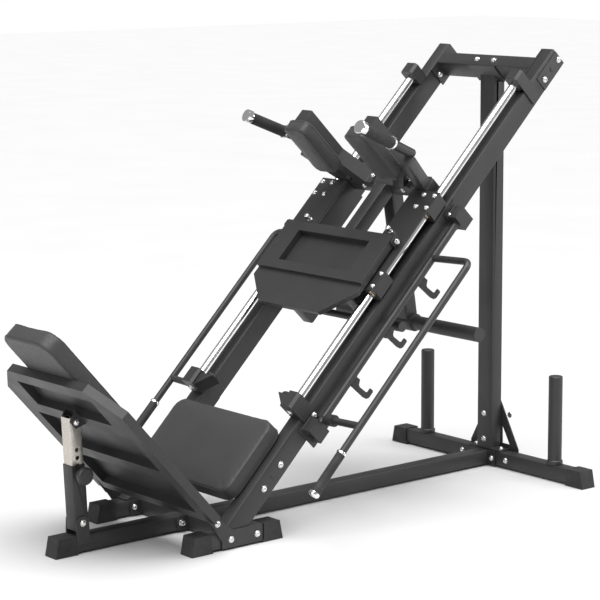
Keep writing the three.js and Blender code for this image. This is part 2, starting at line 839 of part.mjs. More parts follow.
function pressPlate() {
  const { x, z } = PRESS_HINGE;
  const pinHole = bar(PIN_RADIUS + GAP, [x, -270, z], [x, 270, z]);
  const { from, face, back, edge } = PRESS_STEP;
  const upperOutline = { ...PRESS_OUTLINE, turn: 0, end: from, endHalf: PRESS_OUTLINE.half };
  const upper = tray(upperOutline, [edge, back], [PRESS_PANEL]);
  const lower = tray({ ...PRESS_OUTLINE, start: from + 4 }, [edge, face], []);
  const drain = bar(4, [from - 60, 60, edge + 5], [from - 60, 60, edge - 5], 12);
  return join(cut(upper, pinHole), cut(lower, drain));
}

function pressPlatePin() {
  const { x, z } = PRESS_HINGE;
  return bar(PIN_RADIUS, [x, -273, z], [x, 273, z]);
}

function pullPin() {
  const { x, y, radius } = PULL_PIN;
  const pin = turned([
    [0, 36],
    [radius - 2, 36],
    [radius, 39],
    [radius, COVER_TOP + GAP],
    [9, COVER_TOP + GAP],
    [9, 70],
    [radius, 72],
    [radius, 76],
    [8.7, 80],
    [10, 85],
    [8.7, 90],
    [5, 93.7],
    [0, 95],
  ]);
  return pin.translate(x, y, 0);
}

// ---------------------------------------------------------------- safety levers

// A flat hook, drawn with x up the slope and y away from the shaft.
function hook(low) {
  const outline = [
    [low + 4, 6],
    [low, 66],
    [low + 3, 80],
    [low + 10, 84],
    [low + 33, 84],
    [low + 37, 80],
    [low + 37, 70],
    [low + 22, 70],
    [low + 18, 64],
    [low + 18, 39],
    [low + 22, 33],
    [low + 38, 26],
    [low + 38, 6],
  ];
  return prism(outline, "z", [-4, 4]);
}

// A shaft along the rail with three hooks and a long bar, all welded together.
function safetyLever() {
  const { y, z, radius } = LEVER_SHAFT;
  const shaft = bar(radius, [-526, y, z], [374, y, z]);
  const hooks = [-1, 0, 1].map((step) =>
    hook(-124 + step * HOOK_PITCH)
      .rotateX(LEVER_OUT - Math.PI / 2)
      .translate(0, y, z),
  );
  const handle = bentBar(
    LEVER_BAR.radius,
    [186, y, z],
    [186, LEVER_BAR.y, LEVER_BAR.z],
    [-714, LEVER_BAR.y, LEVER_BAR.z],
    30,
  );
  const link = bar(LEVER_BAR.radius, [-463, y, z], [-463, LEVER_BAR.y, LEVER_BAR.z], 16);
  const collar = bar(19, [-463, 322, -55.4], [-463, 358, -52.9]);
  return join(shaft, ...hooks, handle, link, collar);
}

function leverGrip() {
  const { y, z, radius } = LEVER_BAR;
  const start = new THREE.Vector3(-562, y, z);
  const end = new THREE.Vector3(-716, y, z);
  return gripSleeve(radius, start, end, 5);
}

// ---------------------------------------------------------------- backrest and strut

function backrestBoard() {
  const body = tray(BACK_OUTLINE, [16, -13], BACK_PANELS);
  const drain = bar(5, [15, 120, 2], [30, 120, 2], 12);
  const ear = prism(
    [
      [-12, -13],
      [0, -18],
      [70, -13],
      [70, 16],
      [10, 16],
      [-14, 8],
    ],
    "y",
    [283, 288],
  );
  const stub = bar(PIN_RADIUS, [0, 272, 0], [0, 286, 0]);
  const hinge = join(ear, stub);
  const { x, z } = STRUT_LUG;
  const lugPlate = prism(
    [
      [x - 30, -12],
      [x - 14, z - 14],
      [x + 14, z - 14],
      [x + 30, -12],
    ],
    "y",
    [23.2, 28.2],
  );
  const pin = bar(PIN_RADIUS, [x, -28, z], [x, 28, z]);
  const seat = box([x - 30, x + 30], [-28, 28], [-13, -10]);
  return join(cut(body, drain), hinge, mirrored(hinge), lugPlate, mirrored(lugPlate), pin, seat);
}

function backPad() {
  const outline = roundedRectangle([150, 765], [-128, 128], 52);
  return prism(outline, "z", [16 + GAP, 76], 5);
}

function strutSleeve() {
  const half = TUBE / 2 - 0.2;
  const wall = 2.2;
  const body = tube("z", [-22, 181], [-half, half], [-half, half], wall);
  const boss = bar(13, [0, -half + 1, POP_PIN_Z], [0, -half - 18, POP_PIN_Z]);
  const bore = bar(PIN_RADIUS + GAP, [0, -half + 5, POP_PIN_Z], [0, -half - 19, POP_PIN_Z]);
  const pivot = bar(PIN_RADIUS + GAP, [0, -half - 1, 0], [0, half + 1, 0]);
  return cut(join(body, boss), bore, pivot);
}

function strutTube() {
  const half = 22.3;
  const body = tube("z", [118, STRUT_LENGTH + 15], [-half, half], [-half, half], 2);
  const hole = (radius, height) => bar(radius, [0, -half - 1, height], [0, half + 1, height]);
  const row = [0, 1, 2, 3].map((step) => hole(6.5, POP_PIN_Z + step * HOLE_PITCH));
  const pivot = hole(PIN_RADIUS + 5, STRUT_LENGTH);
  const clearOfBoard = prism(
    [
      [half + 2, STRUT_LENGTH - 5],
      [half + 2, STRUT_LENGTH + 16],
      [3, STRUT_LENGTH + 16],
    ],
    "y",
    [-half - 1, half + 1],
  );
  return cut(body, ...row, pivot, clearOfBoard);
}

function popPin() {
  const face = 25 + 18;
  const knob = turned([
    [0, 23.2],
    [PIN_RADIUS, 23.2],
    [PIN_RADIUS, face],
    [14, face],
    [26, face + 6],
    [28, face + 12],
    [28, face + 18],
    [24, face + 24],
    [0, face + 26],
  ]);
  return knob.rotateX(Math.PI / 2).translate(0, 0, POP_PIN_Z);
}

// ---------------------------------------------------------------- the machine

add(machine, "base_beam", "steel", baseBeam());
addPair(machine, "front_crossbar", "steel", frontCrossbar());
addPair(machine, "foot_beam", "steel", footBeam());
add(machine, "rear_crossbar", "steel", rearCrossbar());
addPair(machine, "storage_peg", "steel", storagePeg());
addFootCaps();
add(machine, "rear_post", "steel", rearPost());
add(machine, "post_gusset", "steel", postGusset());

addPair(machine, "rail", "steel", rail());
add(slope, "top_crossbar", "steel", topCrossbar());
addPair(slope, "guide_rod", "chrome", guideRod());
addRodBrackets();
addPair(slope, "stop_bumper", "rubber", stopBumper());
add(slope, "seat_pad", "vinyl", seatPad());

add(slope, "sled_frame", "steel", sledFrame());
for (const [place, centre] of Object.entries(BLOCK_CENTRES)) {
  addPair(slope, "bearing_block_" + place, "steel", bearingBlock(centre));
  addPair(slope, "bearing_bush_" + place, "bronze", bearingBush(centre));
}
add(slope, "weight_horn", "steel", weightHorn());
addPair(slope, "shoulder_arm", "steel", shoulderArm());
addPair(slope, "shoulder_pad", "vinyl", shoulderPad());
addPair(slope, "handle_arm", "steel", handleArm());
addPair(slope, "handle_grip", "rubber", handleGrip());
add(slope, "press_plate", "steel", pressPlate());
add(slope, "press_plate_pin", "zinc", pressPlatePin());
addPair(slope, "pull_pin", "chrome", pullPin());

addPair(slope, "safety_lever", "steel", safetyLever());
addPair(slope, "lever_grip", "rubber", leverGrip());

add(backrest, "backrest_board", "steel", backrestBoard());
add(backrest, "back_pad", "vinyl", backPad());
add(strut, "strut_sleeve", "steel", strutSleeve());
add(strut, "strut_tube", "zinc", strutTube());
add(strut, "pop_pin", "plastic", popPin());

export default machine;
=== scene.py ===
"""Looks of a plate-loaded leg press and hack squat machine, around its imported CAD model.

Metres, +Z up. Places on the sloping frame are given as (up the slope, across, off the rails), and
places on the upright parts as (x, y, z) counted from the middle of the upright post.
"""

import json
import math

import bmesh
import bpy
from mathutils import Matrix, Vector
from mathutils.bvhtree import BVHTree


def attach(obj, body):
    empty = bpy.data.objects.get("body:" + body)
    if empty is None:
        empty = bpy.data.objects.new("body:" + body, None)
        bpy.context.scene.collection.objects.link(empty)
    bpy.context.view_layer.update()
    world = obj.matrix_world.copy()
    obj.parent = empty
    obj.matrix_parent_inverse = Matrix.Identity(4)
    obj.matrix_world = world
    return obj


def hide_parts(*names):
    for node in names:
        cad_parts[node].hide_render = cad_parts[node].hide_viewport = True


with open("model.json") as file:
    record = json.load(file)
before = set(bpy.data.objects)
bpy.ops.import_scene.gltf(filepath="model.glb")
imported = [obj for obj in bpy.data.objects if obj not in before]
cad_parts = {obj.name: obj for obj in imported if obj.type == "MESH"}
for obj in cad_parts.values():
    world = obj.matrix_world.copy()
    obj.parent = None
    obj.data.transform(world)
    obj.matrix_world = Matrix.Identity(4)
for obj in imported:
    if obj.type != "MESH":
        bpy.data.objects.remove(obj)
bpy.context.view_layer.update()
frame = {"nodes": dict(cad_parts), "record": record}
NODES = frame["nodes"]
BODIES = frame["record"]["behaviour"]["bodies"]
BODY_OF = {node: body for body, nodes in BODIES.items() for node in nodes}

POST_X = 0.9267  # the upright post's place along the machine
SLOPE_OFFSET = 1.027  # from the post's foot to the rails' front faces, square to them
ALONG = Vector((1, 0, 0))
ACROSS = Vector((0, 1, 0))
UP = Vector((0, 0, 1))
UP_SLOPE = Vector((1, 0, 1)).normalized()
OFF_SLOPE = Vector((-1, 0, 1)).normalized()
BACK_TILT = math.radians(48.33)  # backrest above the horizontal
UP_BACK = Vector((-math.cos(BACK_TILT), 0, math.sin(BACK_TILT)))
OFF_BACK = Vector((math.sin(BACK_TILT), 0, math.cos(BACK_TILT)))
BACK_HINGE = Vector((POST_X - 1.422, 0, 0.091))
SIDES = (1, -1)
QUARTERS = ((1, 1), (-1, 1), (-1, -1), (1, -1))  # signs of a rectangle's corners, in order

TUBE_HALF = 0.025  # of the square tubes
TUBE_PLUG_HALF = 0.0248
RAIL_Y = 0.2525
RAIL_OUTER = 0.2775  # the rails' side faces
RAIL_INNER = 0.2275
STIFFENER_FACE = 0.2805  # outer faces of the plates on the rails
BRACKET_FACE = 0.2825
FLANGE_FACE = 0.2222  # of the crossbars, beside the rails
BEAM_FLANGE_FACE = 0.0303  # of the front crossbars, beside the base beam
BOLT_LINE = 0.032  # height of the bolts through the base
POST_FLANGE_TOP = 0.0613
COVER_TOP = 0.063  # front faces of the sled's cover plates, off the rails
SLED_BOTTOM = -0.080
SLED_TUBE_Y = 0.189
ARM_FLANGE_TOP = 0.0673
LEVER_SHAFT = (0.300, -0.057)  # across, off the rails
LEVER_BAR = (0.483, -0.044)

CAMERA_AT = (-4.3570, -5.3885, 1.8493)
CAMERA_AZIMUTH = math.radians(-39.393)
CAMERA_ELEVATION = math.radians(9.539)
CAMERA_ROLL = math.radians(-0.301)
CAMERA_LENS = 131.25


def on_slope(s, y, w):
    return Vector((POST_X, y, 0)) + UP_SLOPE * s + OFF_SLOPE * (w + SLOPE_OFFSET)


def by_post(x, y, z):
    return Vector((POST_X + x, y, z))


def on_back(u, y, h):
    return BACK_HINGE + UP_BACK * u + ACROSS * y + OFF_BACK * h


# ---------------------------------------------------------------- materials


class Shader:
    """A material's node tree, with short calls for the nodes that the materials share."""

    def __init__(self, name, roughness, metallic=0.0):
        self.material = bpy.data.materials.new(name)
        self.material.use_nodes = True
        self.tree = self.material.node_tree
        self.surface = self.tree.nodes["Principled BSDF"]
        self.surface.inputs["Roughness"].default_value = roughness
        self.surface.inputs["Metallic"].default_value = metallic
        self.place = self.tree.nodes.new("ShaderNodeTexCoord").outputs["Object"]
        self.normal = None

    def link(self, output, target):
        self.tree.links.new(output, target)

    def noise(self, scale, detail=3.0, stretch=None):
        node = self.tree.nodes.new("ShaderNodeTexNoise")
        node.inputs["Scale"].default_value = scale
        node.inputs["Detail"].default_value = detail
        self.link(self.stretched(stretch), node.inputs["Vector"])
        return node.outputs["Fac"]

    def stretched(self, stretch):
        if stretch is None:
            return self.place
        node = self.tree.nodes.new("ShaderNodeMapping")
        node.inputs["Scale"].default_value = stretch
        self.link(self.place, node.inputs["Vector"])
        return node.outputs["Vector"]

    def cells(self, scale, feature="F1"):
        node = self.tree.nodes.new("ShaderNodeTexVoronoi")
        node.feature = feature
        node.inputs["Scale"].default_value = scale
        self.link(self.place, node.inputs["Vector"])
        return node.outputs["Distance"]

    def ramp(self, factor, low, high, start=0.3, end=0.7):
        node = self.tree.nodes.new("ShaderNodeValToRGB")
        for stop, place, value in zip(node.color_ramp.elements, (start, end), (low, high)):
            stop.position = place
            stop.color = (*value, 1) if hasattr(value, "__len__") else (value, value, value, 1)
        self.link(factor, node.inputs["Fac"])
        return node.outputs["Color"]

    def mix(self, factor, first, second):
        node = self.tree.nodes.new("ShaderNodeMix")
        node.data_type = "RGBA"
        self.link(factor, node.inputs["Factor"])
        self.link(first, node.inputs["A"])
        self.link(second, node.inputs["B"])
        return node.outputs["Result"]

    def bump(self, height, strength, distance):
        node = self.tree.nodes.new("ShaderNodeBump")
        node.inputs["Strength"].default_value = strength
        node.inputs["Distance"].default_value = distance
        self.link(height, node.inputs["Height"])
        if self.normal is not None:
            self.link(self.normal, node.inputs["Normal"])
        self.normal = node.outputs["Normal"]
        self.link(self.normal, self.surface.inputs["Normal"])

    def color(self, output):
        self.link(output, self.surface.inputs["Base Color"])

    def rough(self, output):
        self.link(output, self.surface.inputs["Roughness"])


def powder_coat():
    """Matt charcoal powder coat: orange peel, fine grey specks and faint handling marks."""
    s = Shader("powder_coat", 0.5)
    patches = s.ramp(s.noise(5), (0.021, 0.020, 0.021), (0.028, 0.027, 0.028))
    specks = s.ramp(s.noise(1500, 1), (0.017, 0.016, 0.017), (0.042, 0.041, 0.042), 0.35, 0.75)
    s.color(s.mix(s.ramp(s.noise(260), 0.2, 0.5), patches, specks))
    s.rough(s.ramp(s.noise(9, 5), 0.40, 0.52))
    s.bump(s.noise(420, 2), 0.35, 0.0004)
    s.bump(s.noise(1400, 1), 0.3, 0.0002)
    return s.material


def chrome():
    """Hard chrome, polished along its length, with a faint haze."""
    s = Shader("chrome", 0.1, 1.0)
    s.color(s.ramp(s.noise(14), (0.80, 0.81, 0.82), (0.90, 0.90, 0.90)))
    s.rough(s.ramp(s.noise(60, 4), 0.06, 0.16))
    s.bump(s.noise(900, 2), 0.06, 0.0001)
    return s.material


def zinc():
    """Bright zinc plate with a fine spangle and drawn lines along the strut."""
    s = Shader("zinc_plate", 0.35, 1.0)
    spangle = s.ramp(s.cells(240), (0.50, 0.46, 0.42), (0.66, 0.62, 0.57), 0.1, 0.7)
    drawn = s.ramp(s.noise(500, 3, (1, 1, 0.03)), (0.45, 0.42, 0.38), (0.70, 0.66, 0.61))
    s.color(s.mix(s.ramp(s.noise(30), 0.2, 0.7), spangle, drawn))
    s.rough(s.ramp(s.noise(80, 4), 0.26, 0.46))
    s.bump(s.noise(700, 2, (1, 1, 0.05)), 0.12, 0.0002)
    return s.material


def fastener_steel():
    """Nickel-bright bolt steel with tiny tool marks."""
    s = Shader("fastener_steel", 0.2, 1.0)
    s.color(s.ramp(s.noise(300), (0.72, 0.71, 0.69), (0.86, 0.85, 0.84)))
    s.rough(s.ramp(s.noise(900, 4), 0.14, 0.3))
    s.bump(s.noise(1800, 2), 0.12, 0.0001)
    return s.material


def bronze():
    s = Shader("sintered_bronze", 0.4, 1.0)
    s.color(s.ramp(s.noise(900), (0.36, 0.24, 0.10), (0.62, 0.45, 0.22)))
    s.rough(s.ramp(s.noise(120), 0.3, 0.5))
    s.bump(s.cells(1600), 0.2, 0.0001)
    return s.material


def rubber():
    """Moulded black rubber with a fine spark-eroded grain and a grey bloom."""
    s = Shader("rubber", 0.75)
    s.color(s.ramp(s.noise(18, 6), (0.013, 0.013, 0.014), (0.026, 0.025, 0.025)))
    s.rough(s.ramp(s.noise(40, 4), 0.62, 0.86))
    s.bump(s.noise(1100, 2), 0.4, 0.0003)
    return s.material


def plastic():
    s = Shader("moulded_plastic", 0.5)
    s.color(s.ramp(s.noise(40), (0.022, 0.022, 0.023), (0.032, 0.032, 0.033)))
    s.rough(s.ramp(s.noise(60), 0.42, 0.58))
    s.bump(s.noise(1700, 1), 0.3, 0.0002)
    return s.material


def vinyl():
    """Charcoal upholstery vinyl: pebbled grain, with slow changes of tone and soft dents; the
    grain's valleys carry painted shade.
    """
    s = Shader("upholstery_vinyl", 0.55)
    tone = s.ramp(s.noise(7, 4), (0.026, 0.025, 0.026), (0.036, 0.034, 0.036))
    grain = s.cells(620, "DISTANCE_TO_EDGE")
    # painted shade: the colour darkens towards the edges of the grain's cells, the valleys between
    # the pebbles
    painted_valley_shade = s.ramp(grain, (0.014, 0.013, 0.014), (0.034, 0.032, 0.034), 0.0, 0.12)
    s.color(s.mix(s.ramp(s.noise(11), 0.3, 0.6), tone, painted_valley_shade))
    s.rough(s.ramp(s.noise(130, 5), 0.46, 0.62))
    s.bump(grain, 0.5, 0.0004)
    s.bump(s.noise(95, 5), 0.12, 0.0008)
    s.surface.inputs["Sheen Weight"].default_value = 0.08
    return s.material


def thread():
    s = Shader("seam_thread", 0.7)
    s.color(s.ramp(s.noise(600, 2), (0.026, 0.025, 0.026), (0.060, 0.058, 0.060)))
    s.bump(s.noise(2400, 2), 0.5, 0.0002)
    return s.material


def studio_floor():
    s = Shader("pale_floor", 0.6)
    s.color(s.ramp(s.noise(1.5), 0.60, 0.62))
    return s.material


POWDER = powder_coat()
CHROME = chrome()
ZINC = zinc()
BOLT = fastener_steel()
RUBBER = rubber()
PLASTIC = plastic()
VINYL = vinyl()
THREAD = thread()
OF_SLOT = {
    "steel": POWDER,
    "chrome": CHROME,
    "zinc": ZINC,
    "bronze": bronze(),
    "rubber": RUBBER,
    "plastic": PLASTIC,
    "vinyl": VINYL,
}

# ---------------------------------------------------------------- CAD pieces

EDGE_ROUND = {
    "steel": 0.0012,
    "rubber": 0.003,
    "plastic": 0.002,
    "chrome": 0.0006,
    "zinc": 0.0008,
    "bronze": 0.0005,
}
FINE_ROUND = 0.0001
FINE_EDGED = ("pull_pin", "bearing_bush")


def dress(name, slot):
    """Gives a CAD node its material, and small rounds on its sharp edges."""
    node = NODES[name]
    mesh = node.data
    mesh.materials.clear()
    mesh.materials.append(OF_SLOT[slot])
    if "custom_normal" in mesh.attributes:
        mesh.attributes.remove(mesh.attributes["custom_normal"])
    mesh.shade_smooth()
    node.modifiers.new("weld", "WELD").merge_threshold = 1e-5
    rounds = node.modifiers.new("rounds", "BEVEL")
    rounds.width = FINE_ROUND if name.startswith(FINE_EDGED) else EDGE_ROUND[slot]
    rounds.segments = 2
    rounds.limit_method = "ANGLE"
    rounds.angle_limit = math.radians(32)
    rounds.harden_normals = True


for row in frame["record"]["subparts"]:
    if row["material_slot"] != "vinyl":
        dress(row["node"], row["material_slot"])

# ---------------------------------------------------------------- mesh tools


def to_object(name, mesh_data, material, body, smooth_angle=40):
    """Makes an object of a bmesh, and lets it ride on a CAD body."""
    mesh = bpy.data.meshes.new(name)
    bmesh.ops.recalc_face_normals(mesh_data, faces=mesh_data.faces)
    mesh_data.to_mesh(mesh)
    mesh_data.free()
    mesh.materials.append(material)
    mesh.shade_smooth()
    mesh.set_sharp_from_angle(angle=math.radians(smooth_angle))
    made = bpy.data.objects.new(name, mesh)
    bpy.context.scene.collection.objects.link(made)
    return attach(made, body)


def bridge(target, rings):
    """Joins each ring of vertices to the next with four-sided faces."""
    count = len(rings[0])
    for low, high in zip(rings, rings[1:]):
        for step in range(count):
            after = (step + 1) % count
            target.faces.new((low[step], low[after], high[after], high[step]))


def close_up(target, rings):
    """Makes a closed solid of a stack of rings."""
    bridge(target, rings)
    target.faces.new(rings[0])
    target.faces.new(rings[-1])


def rounded_outline(low, high, corner, steps=8):
    """Points round a rectangle with round corners."""
    points = []
    corners = ((high[0], high[1]), (low[0], high[1]), (low[0], low[1]), (high[0], low[1]))
    for quarter, (x, y) in enumerate(corners):
        outward_x, outward_y = QUARTERS[quarter]
        for step in range(steps + 1):
            angle = math.pi / 2 * (quarter + step / steps)
            points.append((
                x - outward_x * corner + corner * math.cos(angle),
                y - outward_y * corner + corner * math.sin(angle),
            ))
    return points


def facing(place, direction, spin=0.0):
    """The matrix that takes +Z to direction and the origin to place."""
    turn = Vector(direction).to_track_quat("Z", "Y").to_matrix().to_4x4()
    return Matrix.Translation(place) @ turn @ Matrix.Rotation(spin, 4, "Z")


def lathe(target, matrix, profile, sides=24, hexagon=()):
    """Adds a turned shape about +Z. Rings whose number is in hexagon are six-sided."""
    rings = []
    for number, (radius, height) in enumerate(profile):
        ring = []
        for step in range(sides):
            angle = 2 * math.pi * step / sides
            reach = radius
            if number in hexagon:
                reach = radius / math.cos((angle + math.pi / 6) % (math.pi / 3) - math.pi / 6)
            place = Vector((reach * math.cos(angle), reach * math.sin(angle), height))
            ring.append(target.verts.new(matrix @ place))
        rings.append(ring)
    close_up(target, rings)


DOME_BOLT = [
    (0.0100, -0.0004), (0.0104, 0.0004), (0.0104, 0.0015), (0.0100, 0.0019), (0.0088, 0.0019),
    (0.0087, 0.0026), (0.0082, 0.0043), (0.0071, 0.0058), (0.0056, 0.0067), (0.0038, 0.0071),
    (0.0032, 0.0066), (0.0030, 0.0040), (0.0010, 0.0036),
]
DOME_SOCKET = (10, 11)
LOCK_NUT = [
    (0.0100, -0.0004), (0.0104, 0.0004), (0.0104, 0.0015), (0.0100, 0.0019), (0.0078, 0.0020),
    (0.0083, 0.0028), (0.0083, 0.0084), (0.0076, 0.0092), (0.0064, 0.0094), (0.0060, 0.0116),
    (0.0052, 0.0120), (0.0048, 0.0105), (0.0046, 0.0110), (0.0010, 0.0112),
]
NUT_HEXAGON = (4, 5, 6, 7)


def fasteners(name, body, domes, nuts=(), scale=1.0):
    """One piece that holds a body's bolt heads and nuts, from (place, direction) pairs."""
    made = bmesh.new()
    kinds = ((domes, DOME_BOLT, DOME_SOCKET), (nuts, LOCK_NUT, NUT_HEXAGON))
    for places, profile, hexagon in kinds:
        for number, (place, direction) in enumerate(places):
            matrix = facing(place, direction, 0.7 * number) @ Matrix.Scale(scale, 4)
            lathe(made, matrix, profile, hexagon=hexagon)
    to_object(name, made, BOLT, body, 35)


BEAD_RADIUS = 0.0030
BEAD_STEP = 0.0035


def bead(target, corners, closed=True):
    """A rippled weld bead along straight lines between corners."""
    points = list(corners) + ([corners[0]] if closed else [])
    for start, end in zip(points, points[1:]):
        along = Vector(end) - Vector(start)
        steps = max(2, round(along.length / BEAD_STEP))
        matrix = facing(start, along)
        profile = [
            (BEAD_RADIUS * (1.0 if step % 2 else 0.78), along.length * step / steps)
            for step in range(steps + 1)
        ]
        lathe(target, matrix, profile, sides=8)


def rectangle(centre, first, second, half_first, half_second):
    """Corners of a rectangle, in order."""
    return [
        centre + first * (a * half_first) + second * (b * half_second)
        for a, b in QUARTERS
    ]


PLUG_CORNER = 0.006
PLUG_LAYERS = ((1.0, -0.0006), (1.0, 0.0014), (0.95, 0.0026), (0.80, 0.0032))  # (share, height)


def end_plug(target, centre, out, first, half_first, half_second):
    """A moulded plug in a square tube's end: a low crowned lid with round corners."""
    second = Vector(out).cross(first)
    half = (half_first, half_second)
    outline = rounded_outline((-half[0], -half[1]), half, PLUG_CORNER, 3)
    rings = []
    for share, height in PLUG_LAYERS:
        lift = Vector(out) * height
        rings.append([
            target.verts.new(centre + (Vector(first) * x + second * y) * share + lift)
            for x, y in outline
        ])
    close_up(target, rings)


# ---------------------------------------------------------------- bolts


def frame_bolts():
    domes, nuts = [], []
    for side in SIDES:
        out = ACROSS * side
        for x in (-1.366, -1.265):  # foot saddles
            domes.append((by_post(x, side * BRACKET_FACE, BOLT_LINE), out))
        for s in (0.941, 1.030):  # rail tops
            domes.append((on_slope(s, side * STIFFENER_FACE, -0.040), out))
        for s in (-0.754, -0.661):  # rail feet
            domes.append((on_slope(s, side * RAIL_OUTER, -0.037), out))
        nuts.append((on_slope(-0.661, side * RAIL_INNER, -0.037), -out))
        for s in (0.934, 1.020):  # flanges of the top crossbar
            domes.append((on_slope(s, side * FLANGE_FACE, -0.040), -out))
        for s in (-0.471, 0.342):  # shaft bracket ends
            domes.append((on_slope(s, side * BRACKET_FACE, -0.032), out))
        for x in (-1.367, -1.267):  # flanges of the front crossbars
            nuts.append((by_post(x, side * BEAM_FLANGE_FACE, BOLT_LINE), out))
            domes.append((by_post(x, side * FLANGE_FACE, BOLT_LINE), -out))
        # base beam's flange, gusset foot and post flange
        domes.append((by_post(-BEAM_FLANGE_FACE, side * 0.043, 0.030), -ALONG))
        nuts.append((by_post(TUBE_HALF, side * 0.108, BOLT_LINE), ALONG))
        domes.append((by_post(-TUBE_HALF, side * 0.108, BOLT_LINE), -ALONG))
        domes.append((by_post(0, side * 0.0605, POST_FLANGE_TOP), UP))
        # ends of the guide rods
        domes.append((on_slope(-0.512, side * RAIL_Y, 0.030), -UP_SLOPE))
        domes.append((on_slope(0.890, side * RAIL_Y, 0.030), UP_SLOPE))
        # top crossbar's upper and front faces, and a pair behind the post
        domes.append((on_slope(1.003, side * 0.0325, -0.022), UP_SLOPE))
        domes.append((on_slope(0.978, side * 0.040, 0), OFF_SLOPE))
        domes.append((by_post(BEAM_FLANGE_FACE, side * 0.070, 0.180), ALONG))
    for z in (0.183, 0.092):  # through the post and the gusset
        domes.append((by_post(-TUBE_HALF, 0, z), -ALONG))
        nuts.append((by_post(BEAM_FLANGE_FACE, 0, z), ALONG))
    # strut's foot
    domes.append((by_post(-1.7345, -0.0305, 0.096), -ACROSS))
    nuts.append((by_post(-1.7345, 0.0305, 0.096), ACROSS))
    fasteners("frame_bolts", "frame", domes, nuts)


def sled_bolts():
    domes, nuts = [], []
    for side in SIDES:
        out = ACROSS * side
        for centre in (0.3195, -0.004):  # bearing blocks
            for y in (0.229, 0.278):
                for s in (-0.025, 0.025):
                    domes.append((on_slope(centre + s, side * y, COVER_TOP), OFF_SLOPE))
        for y in (0.055, 0.126):  # feet of the shoulder pad arms
            domes.append((on_slope(0.392, side * y, ARM_FLANGE_TOP), OFF_SLOPE))
        domes.append((on_slope(0.365, side * 0.096, 0.043), -UP_SLOPE))
        domes.append((on_slope(0.405, side * 0.162, ARM_FLANGE_TOP), OFF_SLOPE))
        nuts.append((on_slope(0.138, side * 0.2735, 0.081), out))  # press plate's hinge
    fasteners("sled_bolts", "sled", domes, nuts, 0.86)


def backrest_bolts():
    domes = []
    for side in SIDES:
        domes.append((on_back(0, side * 0.2884, 0), ACROSS * side))
        domes.append((on_back(0.455, side * 0.0285, -0.033), ACROSS * side))
    fasteners("backrest_bolts", "backrest", domes)


frame_bolts()
sled_bolts()
backrest_bolts()

# ---------------------------------------------------------------- welds and plugs


def frame_welds():
    made = bmesh.new()
    bead(made, rectangle(by_post(0, 0, POST_FLANGE_TOP), ALONG, ACROSS, TUBE_HALF, 0.035))
    for side in SIDES:
        for y in (BEAM_FLANGE_FACE, FLANGE_FACE):
            centre = by_post(-1.317, side * y, 0.031)
            bead(made, rectangle(centre, ALONG, UP, TUBE_HALF, TUBE_HALF)[:2], closed=False)
        for shaft_block in ((-0.533, -0.484), (0.332, 0.380)):
            edge = [on_slope(s, side * BRACKET_FACE, -0.025) for s in shaft_block]
            bead(made, edge, closed=False)
    to_object("frame_welds", made, POWDER, "frame", 80)


def sled_welds():
    made = bmesh.new()
    for side in SIDES:
        leg = on_slope(-0.055, side * SLED_TUBE_Y, -0.031)
        bead(made, rectangle(leg, UP_SLOPE, ACROSS, TUBE_HALF, TUBE_HALF))
        bead(made, [on_slope(s, side * 0.164, 0.058) for s in (-0.044, 0.361)], closed=False)
        bead(made, [on_slope(0.365, side * y, 0.012) for y in (0.164, 0.214)], closed=False)
        bead(made, [on_slope(s, side * 0.025, 0.0615) for s in (0.352, 0.366)], closed=False)
        bead(made, [on_slope(0.365, side * 0.024, w) for w in (0.014, 0.060)], closed=False)
        for s in (0.122, 0.154):
            bead(made, [on_slope(s, side * y, COVER_TOP) for y in (0.2645, 0.2695)], closed=False)
        ring = on_slope(0.117, side * 0.040, -0.361)
        steps = 20
        circle = [
            ring + (UP_SLOPE * math.cos(angle) + OFF_SLOPE * math.sin(angle)) * 0.0245
            for angle in (2 * math.pi * step / steps for step in range(steps))
        ]
        bead(made, circle)
    to_object("sled_welds", made, POWDER, "sled", 80)


def lever_welds(side, name):
    """Beads where the hooks meet the shaft, which is drawn swung by the levers' rest angle."""
    made = bmesh.new()
    swing = math.radians(22)
    out = ACROSS * (side * math.sin(swing)) - OFF_SLOPE * math.cos(swing)
    edge = UP_SLOPE.cross(out).normalized()
    shaft_y, shaft_w = LEVER_SHAFT
    for low in (-0.326, -0.124, 0.078):  # lower ends of the hooks
        for face in SIDES:
            start = on_slope(low + 0.004, side * shaft_y, shaft_w) + out * 0.0118
            start += edge * face * 0.004
            bead(made, [start, start + UP_SLOPE * 0.034], closed=False)
    to_object("lever_welds_" + name, made, POWDER, "safety_lever_" + name, 80)


HANDLE_FOOT = Vector((0.383, 0.196, 0.062))  # the arm's ends, in the slope's axes
HANDLE_SHOULDER = Vector((0.361, 0.252, 0.206))


def arm_plug(target, side):
    """The plug in a handle arm's top end."""
    along = (HANDLE_SHOULDER - HANDLE_FOOT).normalized()
    wide = ALONG.copy()
    wide.rotate(UP.rotation_difference(along))
    s, y, w = HANDLE_SHOULDER + along * 0.008

    def direction(vector):
        return UP_SLOPE * vector.x + ACROSS * side * vector.y + OFF_SLOPE * vector.z

    end_plug(target, on_slope(s, side * y, w), direction(along), direction(wide), 0.0198, 0.0198)


